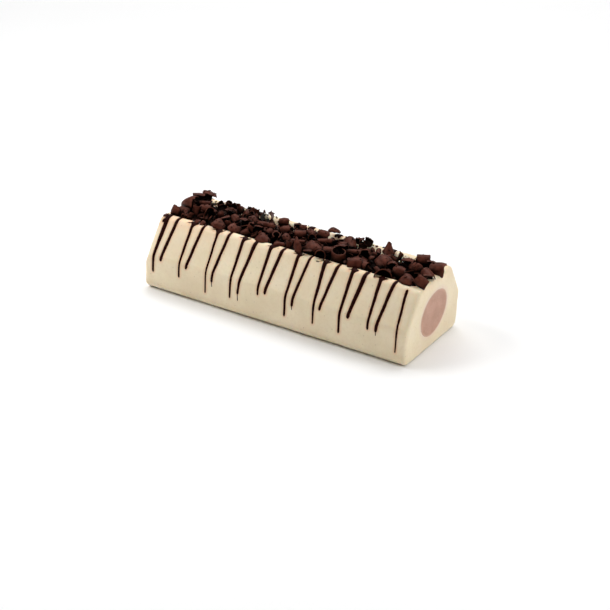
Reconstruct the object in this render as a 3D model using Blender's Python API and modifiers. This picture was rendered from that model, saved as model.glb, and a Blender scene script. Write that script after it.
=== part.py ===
"""Ice cream log cake: a vanilla log with a chocolate core, drizzled with chocolate and heaped with curls.

Metres, +Z up. The log lies along X with its base on Z = 0 and its middle on the Z axis.
"""

import math
import random

import bmesh
import bpy
from mathutils import Matrix, Vector

# Log: a straight-sided base, sides that lean in above a waist, and a shallow basin in the top.
CAKE_LENGTH = 0.262
BASE_WIDTH = 0.1012
WAIST_HEIGHT = 0.0334
TOP_WIDTH = 0.0596
CAKE_HEIGHT = 0.0648
BASE_RADIUS = 0.0090
WAIST_RADIUS = 0.0060
RIM_RADIUS = 0.0030
MOULDED_END_RADII = {"upright": 0.0040, "slope": 0.0055, "top": 0.0055, "foot": 0.0030}
CUT_END_RADII = {"upright": 0.0045, "slope": 0.0035, "top": 0.0030, "foot": 0.0030}
ROUNDING_STEPS = 4

BASIN_DEPTH = 0.0047
BASIN_DRAFT = 0.0030
RIM_WIDTH = 0.0060
END_RIM_WIDTH = 0.0065
BASIN_CORNER_RADIUS = 0.0050

# Core: an oval bar of a second ice cream that runs from end to end.
CORE_HALF_WIDTH = 0.0240
CORE_HALF_HEIGHT = 0.0200
CORE_TILT = math.radians(10.8)
CORE_CENTRE_Y = -0.0007
CORE_CENTRE_Z = 0.0325
CORE_SIDES = 48
CORE_SKIN_GAP = 0.0003
BORE_OVERRUN = 0.0200

# Drizzle: a poured zigzag. It overshoots the front, so a plumb and a slanting run come down there in
# each pitch, and it turns back just past the far rim, where each turn feeds one run down the back.
# A run's drift is how far it strays from the even pitch, its lean how far its top does from its foot.
DRIZZLE_PITCH = 0.0270
PLUMB_RADIUS = 0.00105
SLANT_RADIUS = 0.00130
DRIZZLE_SUNK_SHARE = 0.45
PLUMB_FEET = (0.0179, 0.0199, 0.0130, 0.0156, 0.0262, 0.0142, 0.0154, 0.0142, 0.0256, 0.0122)
PLUMB_DRIFTS = (0.0, 0.0006, 0.0013, 0.0, 0.0006, 0.0010, 0.0019, 0.0, 0.0, 0.0)
PLUMB_LEANS = (0.0016, 0.0, -0.0013, -0.0009, -0.0006, -0.0004, -0.0029, -0.0006, -0.0013, -0.0030)
SLANT_FEET = (0.0301, 0.0299, 0.0250, 0.0215, 0.0290, 0.0255, 0.0296, 0.0302, 0.0256)
SLANT_RIM_OFFSET = 0.0121
SLANT_FOOT_OFFSET = 0.0077
BACK_FEET = (0.0210, 0.0290, 0.0165, 0.0240, 0.0310, 0.0185, 0.0225, 0.0275, 0.0150)
BACK_TURN_OFFSET = 0.0080
BACK_TURN_HEIGHT = 0.0560
BACK_LEG_SPREAD = 0.0018
BACK_LEG_RADIUS = 0.00090

# Curls: rolled shavings heaped on a lumpy bed in the basin, highest at the -X end.
BED_LENGTH = 0.2420
BED_WIDTH = 0.0400
BED_CENTRE_Y = -0.0025
BED_TOP = 0.0630
BED_SUNK = 0.0020
BED_LUMP = 0.0014
BED_COLUMNS = 28
BED_ROWS = 5
BED_SEED = 4
STACK_REACH = 0.030
STACK_HEIGHT = 0.0055
HEAP_GAP = 0.0003

CURL_SEED = 11
CURL_COLUMNS = 23
CURL_ROWS = 4
CURL_SEGMENTS = 4
CURL_THICKNESS = 0.0009
CURL_STRAY = 0.0020
CURL_SIZES = (0.80, 1.10)
CURL_LIFTS = (0.0020, 0.0040)
CURL_PITCH_LIMIT = 35

# Kinds of curl: roll radius, width along the roll, sweep in degrees, taper of the radius, pointedness.
CURL_KINDS = {
    "roll": (0.0044, 0.0100, 240, 0.20, 0.15),
    "cone": (0.0042, 0.0115, 210, 1.00, 0.10),
    "petal": (0.0075, 0.0105, 110, 0.30, 0.85),
}
# The large curls that give the heap its outline: kind, size, place, then roll, pitch and yaw in degrees.
LARGE_CURLS = (
    ("cone", 1.05, (-0.1150, -0.0180, 0.0685), (0, 75, -120)),
    ("cone", 1.05, (-0.1060, -0.0165, 0.0680), (0, 75, -70)),
    ("petal", 1.25, (-0.1080, -0.0040, 0.0660), (35, -10, -61)),
    ("petal", 1.10, (-0.0990, 0.0050, 0.0650), (-20, 0, -61)),
    ("petal", 1.15, (-0.1040, 0.0100, 0.0685), (10, 14, 29)),
    ("petal", 0.90, (0.0150, 0.0200, 0.0655), (0, 0, -61)),
    ("roll", 0.95, (0.0460, 0.0180, 0.0685), (-60, 0, -61)),
    ("petal", 0.85, (0.0550, 0.0190, 0.0660), (-20, 10, -50)),
    ("petal", 1.00, (0.0735, 0.0210, 0.0640), (60, 0, 29)),
    ("roll", 1.00, (0.1010, 0.0180, 0.0660), (20, 0, 29)),
    ("petal", 0.95, (0.1105, 0.0165, 0.0640), (0, 0, -61)),
    ("cone", 1.10, (0.1215, 0.0085, 0.0670), (30, -20, 29)),
    ("cone", 0.95, (0.1190, -0.0150, 0.0645), (60, 10, -61)),
)


def clear_scene():
    for obj in list(bpy.data.objects):
        bpy.data.objects.remove(obj, do_unlink=True)


def collection(name, hidden=False):
    made = bpy.data.collections.new(name)
    bpy.context.scene.collection.children.link(made)
    made.hide_render = hidden
    return made


def add_object(name, mesh, where):
    obj = bpy.data.objects.new(name, mesh)
    where.objects.link(obj)
    return obj


def mesh_from(bm, name):
    mesh = bpy.data.meshes.new(name)
    bm.to_mesh(mesh)
    bm.free()
    return mesh


def evaluated_mesh(obj):
    """The object's mesh with its modifiers applied."""
    bpy.context.view_layer.update()
    depsgraph = bpy.context.evaluated_depsgraph_get()
    return bpy.data.meshes.new_from_object(obj.evaluated_get(depsgraph))


def boolean(obj, operation, operand, solver="EXACT"):
    """Joins or cuts with an object, or with every object of a collection, and applies the result."""
    cut = obj.modifiers.new(operation.title(), "BOOLEAN")
    cut.operation = operation
    cut.solver = solver
    if isinstance(operand, bpy.types.Collection):
        cut.operand_type = "COLLECTION"
        cut.collection = operand
    else:
        cut.object = operand
    result = evaluated_mesh(obj)
    obj.modifiers.clear()
    obj.data = result
    return obj


def remove_all(group):
    for obj in list(group.objects):
        bpy.data.objects.remove(obj, do_unlink=True)
    bpy.data.collections.remove(group)


def is_upright(edge):
    a, b = (v.co for v in edge.verts)
    return abs(a.z - b.z) > 1e-6


def material(name, colour, roughness):
    made = bpy.data.materials.new(name)
    made.use_nodes = True
    shader = made.node_tree.nodes["Principled BSDF"]
    shader.inputs["Base Color"].default_value = (*colour, 1.0)
    shader.inputs["Roughness"].default_value = roughness
    shader.inputs["Metallic"].default_value = 0.0
    return made


def end_rounding(a, b):
    """The radius of an end face's edge between the corners a and b."""
    radii = CUT_END_RADII if a.x > 0 else MOULDED_END_RADII
    if abs(a.z - b.z) < 1e-6:
        return radii["foot"] if a.z < WAIST_HEIGHT else radii["top"]
    if min(a.z, b.z) < WAIST_HEIGHT - 1e-6:
        return radii["upright"]
    return radii["slope"]


def log_prism(name, where, grow=0.0):
    """The log without its basin: a six-sided prism with every edge rounded."""
    half_base, half_top = BASE_WIDTH / 2 + grow, TOP_WIDTH / 2 + grow
    corners = [
        (-half_base, 0.0, BASE_RADIUS),
        (-half_base, WAIST_HEIGHT, WAIST_RADIUS),
        (-half_top, CAKE_HEIGHT + grow, RIM_RADIUS),
        (half_top, CAKE_HEIGHT + grow, RIM_RADIUS),
        (half_base, WAIST_HEIGHT, WAIST_RADIUS),
        (half_base, 0.0, BASE_RADIUS),
    ]
    bm = bmesh.new()
    near = -CAKE_LENGTH / 2 - grow
    outline = [bm.verts.new((near, y, z)) for y, z, radius in corners]
    end_face = bm.faces.new(outline)
    made = bmesh.ops.extrude_face_region(bm, geom=[end_face])["geom"]
    far_verts = [v for v in made if isinstance(v, bmesh.types.BMVert)]
    bmesh.ops.translate(bm, verts=far_verts, vec=(CAKE_LENGTH + 2 * grow, 0.0, 0.0))
    bmesh.ops.recalc_face_normals(bm, faces=bm.faces)

    weights = bm.edges.layers.float.new("bevel_weight_edge")
    for edge in bm.edges:
        a, b = (v.co for v in edge.verts)
        if abs(a.x - b.x) > 1e-6:
            rounding = next(r for y, z, r in corners if abs(y - a.y) < 1e-6 and abs(z - a.z) < 1e-6)
        else:
            rounding = end_rounding(a, b)
        edge[weights] = rounding / BASE_RADIUS
    obj = add_object(name, mesh_from(bm, name), where)
    bevel = obj.modifiers.new("Rounding", "BEVEL")
    bevel.limit_method = "WEIGHT"
    bevel.width = BASE_RADIUS
    bevel.segments = ROUNDING_STEPS
    obj.data = evaluated_mesh(obj)
    obj.modifiers.clear()
    return obj


def basin_cutter(name, where, grow=0.0):
    """A shallow tray shape whose walls lean out by the draft, standing well clear above the top."""
    half_length = CAKE_LENGTH / 2 - END_RIM_WIDTH - grow
    half_width = TOP_WIDTH / 2 - RIM_WIDTH - grow
    bm = bmesh.new()
    bmesh.ops.create_cube(bm, size=2.0)
    for v in bm.verts:
        out = BASIN_DRAFT * v.co.z
        lift = BASIN_DEPTH * v.co.z - grow * (v.co.z - 1) / 2
        v.co = (v.co.x * (half_length + out), v.co.y * (half_width + out), CAKE_HEIGHT + lift)
    corners = [e for e in bm.edges if is_upright(e)]
    bmesh.ops.bevel(
        bm, geom=corners, offset=BASIN_CORNER_RADIUS, segments=ROUNDING_STEPS, affect="EDGES", profile=0.5
    )
    return add_object(name, mesh_from(bm, name), where)


def log_body(name, where, tools, grow=0.0):
    """The rounded prism with the basin cut in its top."""
    body = log_prism(name, where, grow)
    cutter = basin_cutter("basin_cutter", tools, grow)
    boolean(body, "DIFFERENCE", cutter)
    bpy.data.objects.remove(cutter, do_unlink=True)
    return body


def core_bar(name, where, length, grow=0.0):
    """An oval bar along X, tilted a little about its own axis."""
    bm = bmesh.new()
    bmesh.ops.create_cone(bm, cap_ends=True, segments=CORE_SIDES, radius1=1.0, radius2=1.0, depth=length)
    bm.transform(Matrix.Rotation(math.pi / 2, 4, "Y"))
    bmesh.ops.scale(bm, vec=(1.0, CORE_HALF_WIDTH + grow, CORE_HALF_HEIGHT + grow), verts=bm.verts)
    bar = add_object(name, mesh_from(bm, name), where)
    bar.location = (0.0, CORE_CENTRE_Y, CORE_CENTRE_Z)
    bar.rotation_euler = (CORE_TILT, 0.0, 0.0)
    return bar


def side_route():
    """The log's outline from the foot of a side to the middle of the rim, as (y, z), y outward."""
    half_base, half_top = BASE_WIDTH / 2, TOP_WIDTH / 2
    lean = math.atan2(half_base - half_top, CAKE_HEIGHT - WAIST_HEIGHT)
    tangent = RIM_RADIUS * math.tan((math.pi / 2 - lean) / 2)
    route = [(half_base, BASE_RADIUS), (half_base, WAIST_HEIGHT)]
    centre_y, centre_z = half_top - tangent, CAKE_HEIGHT - RIM_RADIUS
    for share in (0.0, 0.5, 1.0):
        angle = lean + (math.pi / 2 - lean) * share
        route.append((centre_y + RIM_RADIUS * math.cos(angle), centre_z + RIM_RADIUS * math.sin(angle)))
    route.append((half_top - RIM_WIDTH + BASIN_DRAFT / 3, CAKE_HEIGHT))
    return route


def outline_at(route, z):
    """How far out the log's side is at height z."""
    for (low_y, low_z), (high_y, high_z) in zip(route, route[1:]):
        if low_z <= z < high_z:
            return low_y + (high_y - low_y) * (z - low_z) / (high_z - low_z)
    return route[0][0]


def run_points(route, foot_z, foot_x, rim_x, side, lean_from=0.0):
    """Points of one drizzle run on one side, from its foot up to the rim, plumb below lean_from."""
    outline = [Vector((outline_at(route, foot_z), foot_z))]
    outline += [Vector(p) for p in route if p[1] > foot_z]
    travelled = [0.0]
    for a, b in zip(outline, outline[1:]):
        leans = b.y > lean_from
        travelled.append(travelled[-1] + (b - a).length * leans)
    points = []
    for p, distance in zip(outline, travelled):
        x = foot_x + (rim_x - foot_x) * distance / travelled[-1]
        points.append(Vector((x, side * p.x, p.y)))
    return points


def sink(points, side, depth):
    """Moves a run's points into the log, square to the run's own outline."""
    sunk = []
    for i, p in enumerate(points):
        before, after = points[max(i - 1, 0)], points[min(i + 1, len(points) - 1)]
        along = after - before
        outward = Vector((0.0, side * along.z, -side * along.y)).normalized()
        sunk.append(p - outward * depth)
    return sunk


def drizzle_run(name, points, side, radius, grow, where):
    """A round bead along the points, sunk part way into the log."""
    curve = bpy.data.curves.new(name, "CURVE")
    curve.dimensions = "3D"
    curve.bevel_depth = radius + grow
    curve.bevel_resolution = 1
    curve.use_fill_caps = True
    spline = curve.splines.new("POLY")
    spline.points.add(len(points) - 1)
    for point, p in zip(spline.points, sink(points, side, radius * DRIZZLE_SUNK_SHARE)):
        point.co = (*p, 1.0)
    tube = add_object(name, curve, where)
    mesh = evaluated_mesh(tube)
    bpy.data.objects.remove(tube, do_unlink=True)
    bm = bmesh.new()
    bm.from_mesh(mesh)
    bmesh.ops.remove_doubles(bm, verts=bm.verts, dist=1e-6)
    bm.to_mesh(mesh)
    bm.free()
    return add_object(name, mesh, where)


def front_drizzle(where, grow):
    """The plumb and the slanting runs down the front."""
    route = side_route()
    first = -DRIZZLE_PITCH * (len(PLUMB_FEET) - 1) / 2
    for i, (foot_z, drift, lean) in enumerate(zip(PLUMB_FEET, PLUMB_DRIFTS, PLUMB_LEANS)):
        x = first + i * DRIZZLE_PITCH + drift
        points = run_points(route, foot_z, x, x + lean, -1, WAIST_HEIGHT)
        drizzle_run(f"plumb_{i}", points, -1, PLUMB_RADIUS, grow, where)
    for i, foot_z in enumerate(SLANT_FEET):
        x = first + i * DRIZZLE_PITCH
        points = run_points(route, foot_z, x + SLANT_FOOT_OFFSET, x + SLANT_RIM_OFFSET, -1)
        drizzle_run(f"slant_{i}", points, -1, SLANT_RADIUS, grow, where)


def back_drizzle(where, grow):
    """At each turn past the far rim, two short legs that meet in one run down the back."""
    route = side_route()
    first = -DRIZZLE_PITCH * len(BACK_FEET) / 2
    for i, foot_z in enumerate(BACK_FEET):
        x = first + i * DRIZZLE_PITCH + BACK_TURN_OFFSET
        points = run_points(route, foot_z, x, x - BACK_LEG_SPREAD, 1, BACK_TURN_HEIGHT)
        drizzle_run(f"back_{i}", points, 1, PLUMB_RADIUS, grow, where)
        points = run_points(route, BACK_TURN_HEIGHT, x, x + BACK_LEG_SPREAD, 1)
        drizzle_run(f"back_leg_{i}", points, 1, BACK_LEG_RADIUS, grow, where)


def drizzle(where, grow=0.0):
    front_drizzle(where, grow)
    back_drizzle(where, grow)


def curl(name, kind, size, spot, turns, where):
    """A thin sheet rolled about its own X, its two ends drawn in, placed after roll, pitch and yaw."""
    radius, width, sweep, taper, pointed = CURL_KINDS[kind]
    bm = bmesh.new()
    bmesh.ops.create_grid(bm, x_segments=1, y_segments=CURL_SEGMENTS, size=0.5)
    for v in bm.verts:
        across, round_share = v.co.x, v.co.y
        angle = math.radians(sweep) * round_share
        swollen = radius * size * (1.0 + taper * across)
        narrowed = width * size * (1.0 - pointed * (2 * round_share) ** 2)
        v.co = (narrowed * across, swollen * math.sin(angle), swollen * math.cos(angle))
    sheet = add_object(name, mesh_from(bm, name), where)
    sheet.location = spot
    sheet.rotation_euler = [math.radians(t) for t in turns]
    solid = sheet.modifiers.new("Thickness", "SOLIDIFY")
    solid.thickness = CURL_THICKNESS
    solid.offset = 0.0
    return sheet


def stack_height(x):
    """How much higher the heap is at x, towards the -X end."""
    from_end = x + BED_LENGTH / 2
    return STACK_HEIGHT * max(0.0, 1.0 - from_end / STACK_REACH)


def scattered_curls(where):
    """Curls over the whole bed, one in each cell of a loose grid."""
    draw = random.Random(CURL_SEED)
    for column in range(CURL_COLUMNS):
        for row in range(CURL_ROWS):
            x = ((column + 0.5) / CURL_COLUMNS - 0.5) * BED_LENGTH + draw.uniform(-CURL_STRAY, CURL_STRAY)
            y = ((row + 0.5) / CURL_ROWS - 0.5) * BED_WIDTH + draw.uniform(-CURL_STRAY, CURL_STRAY)
            spot = (x, y + BED_CENTRE_Y, BED_TOP + stack_height(x) + draw.uniform(*CURL_LIFTS))
            kind = draw.choice(("roll", "roll", "cone", "petal"))
            size = draw.uniform(*CURL_SIZES)
            pitch = draw.uniform(-CURL_PITCH_LIMIT, CURL_PITCH_LIMIT)
            turns = (draw.uniform(0, 360), pitch, draw.uniform(0, 360))
            curl(f"curl_{column}_{row}", kind, size, spot, turns, where)


def keep_largest_body(obj):
    """Drops the loose scraps that trimming leaves."""
    bm = bmesh.new()
    bm.from_mesh(obj.data)
    unseen = set(bm.verts)
    bodies = []
    while unseen:
        body = set()
        front = [unseen.pop()]
        while front:
            v = front.pop()
            body.add(v)
            neighbours = {e.other_vert(v) for e in v.link_edges} & unseen
            unseen -= neighbours
            front += neighbours
        bodies.append(body)
    largest = max(bodies, key=len)
    scraps = [v for v in bm.verts if v not in largest]
    bmesh.ops.delete(bm, geom=scraps, context="VERTS")
    bm.to_mesh(obj.data)
    bm.free()


def lumpy_bed(name, where):
    """A low block in the basin whose top has lumps as large as the curls on it."""
    draw = random.Random(BED_SEED)
    foot = CAKE_HEIGHT - BASIN_DEPTH - BED_SUNK
    bm = bmesh.new()
    bmesh.ops.create_grid(bm, x_segments=BED_COLUMNS, y_segments=BED_ROWS, size=0.5)
    for v in bm.verts:
        x, y = v.co.x * BED_LENGTH, v.co.y * BED_WIDTH + BED_CENTRE_Y
        v.co = (x, y, BED_TOP + stack_height(x) + draw.uniform(-BED_LUMP, BED_LUMP))
    rim = bmesh.ops.extrude_edge_only(bm, edges=[e for e in bm.edges if e.is_boundary])["geom"]
    for v in rim:
        if isinstance(v, bmesh.types.BMVert):
            v.co.z = foot
    bmesh.ops.holes_fill(bm, edges=[e for e in bm.edges if e.is_boundary])
    bmesh.ops.recalc_face_normals(bm, faces=bm.faces)
    return add_object(name, mesh_from(bm, name), where)


def curl_heap(name, where, tools):
    """The bed with the curls fused on, trimmed clear of the log and its drizzle."""
    heap = lumpy_bed(name, where)
    curls = collection("curls", hidden=True)
    for i, (kind, size, spot, turns) in enumerate(LARGE_CURLS):
        curl(f"large_curl_{i}", kind, size, spot, turns, curls)
    scattered_curls(curls)
    boolean(heap, "UNION", curls, "MANIFOLD")
    remove_all(curls)
    clearance = collection("clearance", hidden=True)
    log_body("log_clearance", clearance, tools, HEAP_GAP)
    drizzle(clearance, HEAP_GAP)
    for blocker in clearance.objects:
        boolean(heap, "DIFFERENCE", blocker, "MANIFOLD")
    remove_all(clearance)
    keep_largest_body(heap)
    return heap


def ice_cream_log(name, where, tools):
    """The log with its basin, the bore for the core, and the drizzle fused on."""
    log = log_body(name, where, tools)
    bore = core_bar("core_bore", tools, CAKE_LENGTH + BORE_OVERRUN, CORE_SKIN_GAP)
    boolean(log, "DIFFERENCE", bore)
    bpy.data.objects.remove(bore, do_unlink=True)
    runs = collection("drizzle_runs", hidden=True)
    drizzle(runs)
    boolean(log, "UNION", runs)
    remove_all(runs)
    return log


def main():
    clear_scene()
    parts = collection("ice_cream_cake")
    tools = collection("cutters", hidden=True)

    log = ice_cream_log("ice_cream_log", parts, tools)
    log.data.materials.append(material("vanilla_ice_cream", (0.80, 0.68, 0.48), 0.6))

    core = core_bar("chocolate_core", parts, CAKE_LENGTH)
    core.data.materials.append(material("chocolate_ice_cream", (0.49, 0.29, 0.22), 0.6))

    heap = curl_heap("chocolate_curls", parts, tools)
    heap.data.materials.append(material("dark_chocolate", (0.06, 0.02, 0.015), 0.4))


main()
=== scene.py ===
"""Looks of the ice cream log cake: frozen vanilla, a chocolate core, poured drizzle and a heap of curls.

Metres, +Z up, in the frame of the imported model.
"""

import random
from math import atan2, copysign, cos, hypot, pi, radians, sin, sqrt, tan

import bmesh
import bpy
from mathutils import Euler, Matrix, Vector, noise
from mathutils.bvhtree import BVHTree

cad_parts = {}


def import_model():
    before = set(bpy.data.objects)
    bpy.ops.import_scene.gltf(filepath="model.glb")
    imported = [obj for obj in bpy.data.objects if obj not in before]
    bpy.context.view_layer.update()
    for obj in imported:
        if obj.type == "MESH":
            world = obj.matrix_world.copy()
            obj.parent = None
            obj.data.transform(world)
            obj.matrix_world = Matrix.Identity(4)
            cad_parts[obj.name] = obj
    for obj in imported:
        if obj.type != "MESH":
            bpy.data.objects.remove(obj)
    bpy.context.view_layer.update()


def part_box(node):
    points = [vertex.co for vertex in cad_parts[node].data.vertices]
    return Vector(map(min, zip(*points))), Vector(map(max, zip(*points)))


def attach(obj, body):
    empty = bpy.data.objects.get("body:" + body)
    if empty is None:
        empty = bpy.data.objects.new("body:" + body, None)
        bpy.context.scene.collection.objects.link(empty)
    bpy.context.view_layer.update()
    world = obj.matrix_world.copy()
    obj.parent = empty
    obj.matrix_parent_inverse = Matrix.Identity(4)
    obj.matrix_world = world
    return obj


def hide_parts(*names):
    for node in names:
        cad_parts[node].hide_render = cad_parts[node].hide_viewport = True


# Log: the same driving sizes as the solid, with finer rounding.
WAIST_HEIGHT = 0.0334
BASE_WIDTH = 0.1012
TOP_WIDTH = 0.0596
CAKE_HEIGHT = 0.0648
BASE_RADIUS = 0.0090
WAIST_RADIUS = 0.0030
RIM_RADIUS = 0.0030
# Edge radii at the moulded end (-X) and the cut end (+X), each a share of the bevel's LARGEST_RADIUS.
LARGEST_RADIUS = 0.0100
MOULDED_END_RADII = {"upright": 0.0035, "slope": 0.0090, "top": 0.0095, "foot": 0.0030}
CUT_END_RADII = {"upright": 0.0045, "slope": 0.0035, "top": 0.0030, "foot": 0.0030}
ROUNDING_STEPS = 6
# Basin in the top, and the core.
BASIN_DEPTH = 0.0047
BASIN_DRAFT = 0.0030
RIM_WIDTH = 0.0060
END_RIM_WIDTH = 0.0065
BASIN_CORNER_RADIUS = 0.0050
CORE_TILT = radians(10.8)
CORE_SIDES = 128

# Frozen surface: the voxel that rounds it, its waves as (wavelength, height), and where they set in.
ICE_VOXEL = 0.0013
ICE_SMOOTHING = 5
ICE_WAVES = ((0.034, 0.00035), (0.012, 0.00016), (0.0045, 0.00007))
ICE_WAVES_FROM = (0.0, 0.004)
RIM_WAVES = ((0.019, 0.00045), (0.007, 0.00022))
RIM_WAVES_FROM = (0.058, 0.063)
# Droop of the front rim towards the cut end: its depth, and where it sets in along X, outward and up.
DROOP_START = 0.092
DROOP_LENGTH = 0.030
DROOP_DEPTH = 0.0014
DROOP_OUTWARD = (0.018, 0.026)
DROOP_HEIGHTS = (0.054, 0.064)

# Drizzle: plumb and slanting runs down the front, forked runs down the back. Drifts and leans are shifts
# along X, of a whole run and of its top. Half widths go from the foot to the rim.
DRIZZLE_PITCH = 0.0270
# Plumb runs: height of the foot, drift, lean, half widths, and how far the splash at the rim fans out to
# its left and right.
PLUMB_RUNS = (
    (0.0179, 0.0, 0.0016, (0.00125, 0.00250), (0.0038, 0.0010)),
    (0.0199, 0.0006, 0.0, (0.00108, 0.00165), (0.0032, 0.0050)),
    (0.0130, 0.0013, -0.0013, (0.00090, 0.00140), (0.0042, 0.0052)),
    (0.0156, 0.0, -0.0009, (0.00102, 0.00180), (0.0016, 0.0058)),
    (0.0262, 0.0006, -0.0006, (0.00110, 0.00195), (0.0012, 0.0058)),
    (0.0142, 0.0010, -0.0004, (0.00115, 0.00175), (0.0026, 0.0040)),
    (0.0154, 0.0019, -0.0029, (0.00088, 0.00215), (0.0016, 0.0045)),
    (0.0142, 0.0, -0.0006, (0.00118, 0.00185), (0.0022, 0.0045)),
    (0.0256, 0.0, -0.0013, (0.00112, 0.00190), (0.0026, 0.0055)),
    (0.0122, 0.0, -0.0030, (0.00085, 0.00145), None),
)
# Slanting runs: height of the foot, length of the thin tail under it, half widths.
SLANT_RUNS = (
    (0.0301, 0.0, (0.00155, 0.00180)),
    (0.0299, 0.0, (0.00145, 0.00165)),
    (0.0250, 0.0040, (0.00138, 0.00162)),
    (0.0215, 0.0060, (0.00128, 0.00205)),
    (0.0290, 0.0, (0.00150, 0.00182)),
    (0.0255, 0.0030, (0.00145, 0.00142)),
    (0.0296, 0.0, (0.00134, 0.00180)),
    (0.0302, 0.0, (0.00172, 0.00215)),
    (0.0256, 0.0030, (0.00148, 0.00180)),
)
SLANT_RIM_OFFSET = 0.0121
SLANT_FOOT_OFFSET = 0.0077
BACK_FEET = (0.0210, 0.0290, 0.0165, 0.0240, 0.0310, 0.0185, 0.0225, 0.0275, 0.0150)
BACK_TURN_OFFSET = 0.0080
BACK_TURN_HEIGHT = 0.0560
BACK_LEG_SPREAD = 0.0018
BACK_HALF_WIDTHS = (0.00115, 0.00190)
# How far the runs reach over the rim. A plumb run without a splash stays below it.
PLUMB_OVER_RIM = 0.0050
PLUMB_BELOW_RIM = 0.0035
SLANT_OVER_RIM = 0.0045
SLANT_THINS_BELOW_RIM = 0.0045
BACK_OVER_RIM = 0.0060
# Sauce: its rise over its half width, how deep it is sunk, and how it thins past the edge of the rim.
BEAD_RISE = 0.42
BEAD_SINK = 0.0006
BEAD_THINNED = 0.45
BEAD_STEP = 0.0006
BEAD_SIDES = 12
BEAD_WOBBLE = 0.00025
BEAD_END_STRETCH = 1.6
DRIZZLE_VOXEL = 0.00041
# Splashes at the rim: strands, a finger to the left and loose drops.
SPLASH_DEPTH = 0.0075
SPLASH_STRANDS = 7
STRAND_STRAY = 0.0003
STRAND_TOPS = (0.0012, 0.0034)
STRAND_HALF_WIDTHS = (0.0008, 0.0012)
SPLASH_FINGER = 0.0034
FINGER_DEPTHS = (0.0004, 0.0014)
FINGER_HALF_WIDTHS = (0.0004, 0.0009)
DROP_COUNT = 3
DROP_STRAY = 0.0018
DROP_DEPTHS = (0.0010, 0.0036)
DROP_LENGTHS = (0.0008, 0.0016)
DROP_HALF_WIDTHS = (0.0004, 0.0006)
# One loose drop near the left end: x, height, length, half width.
DROPLET = (-0.1238, 0.0592, 0.0048, 0.0016)
TAIL_HALF_WIDTH = 0.00045
DRIZZLE_SEED = 23

# Heap: a bed in the basin, near black as painted shade between the curls, large curls laid one by one,
# smaller ones scattered, then bits and crumbs.
BED_LENGTH = 0.2420
BED_WIDTH = 0.0425
BED_CENTRE_Y = -0.0018
BED_TOP = 0.0618
BED_SUNK = 0.0008
BED_LUMP = 0.0011
BED_STRAY = 0.0012
BED_SHOULDER = 0.0022
BED_CELL = 0.0020
STACK_REACH = 0.030
STACK_HEIGHT = 0.0055
CURL_THICKNESS = 0.00065
SHEET_CREASE = radians(50)
CURL_ROWS = 9
CURL_COLUMNS = 19
CURL_SEED = 31

# Kinds of curl: radius, width along the roll, sweep in degrees, taper, pointedness, spiral, helix, cup.
CURL_KINDS = {
    "roll": (0.0043, 0.0100, 300, 0.10, 0.05, 0.25, 0.08, 0.00),
    "bar": (0.0030, 0.0130, 230, 0.08, 0.10, 0.10, 0.04, 0.05),
    "arch": (0.0050, 0.0102, 175, 0.12, 0.30, 0.08, 0.05, 0.10),
    "shell": (0.0058, 0.0112, 200, 0.15, 0.35, 0.05, 0.08, 0.14),
    "tent": (0.0040, 0.0125, 170, 0.95, 0.75, 0.05, 0.05, 0.00),
    "cone": (0.0042, 0.0115, 230, 1.00, 0.10, 0.10, 0.10, 0.00),
    "petal": (0.0078, 0.0104, 105, 0.25, 0.88, 0.05, 0.08, 0.22),
    "leaf": (0.0080, 0.0054, 125, 0.25, 0.92, 0.05, 0.20, 0.15),
    "scroll": (0.0030, 0.0095, 430, 0.08, 0.00, 0.55, 0.05, 0.00),
    "flake": (0.0130, 0.0085, 48, 0.20, 0.40, 0.00, 0.12, 0.05),
}
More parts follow.
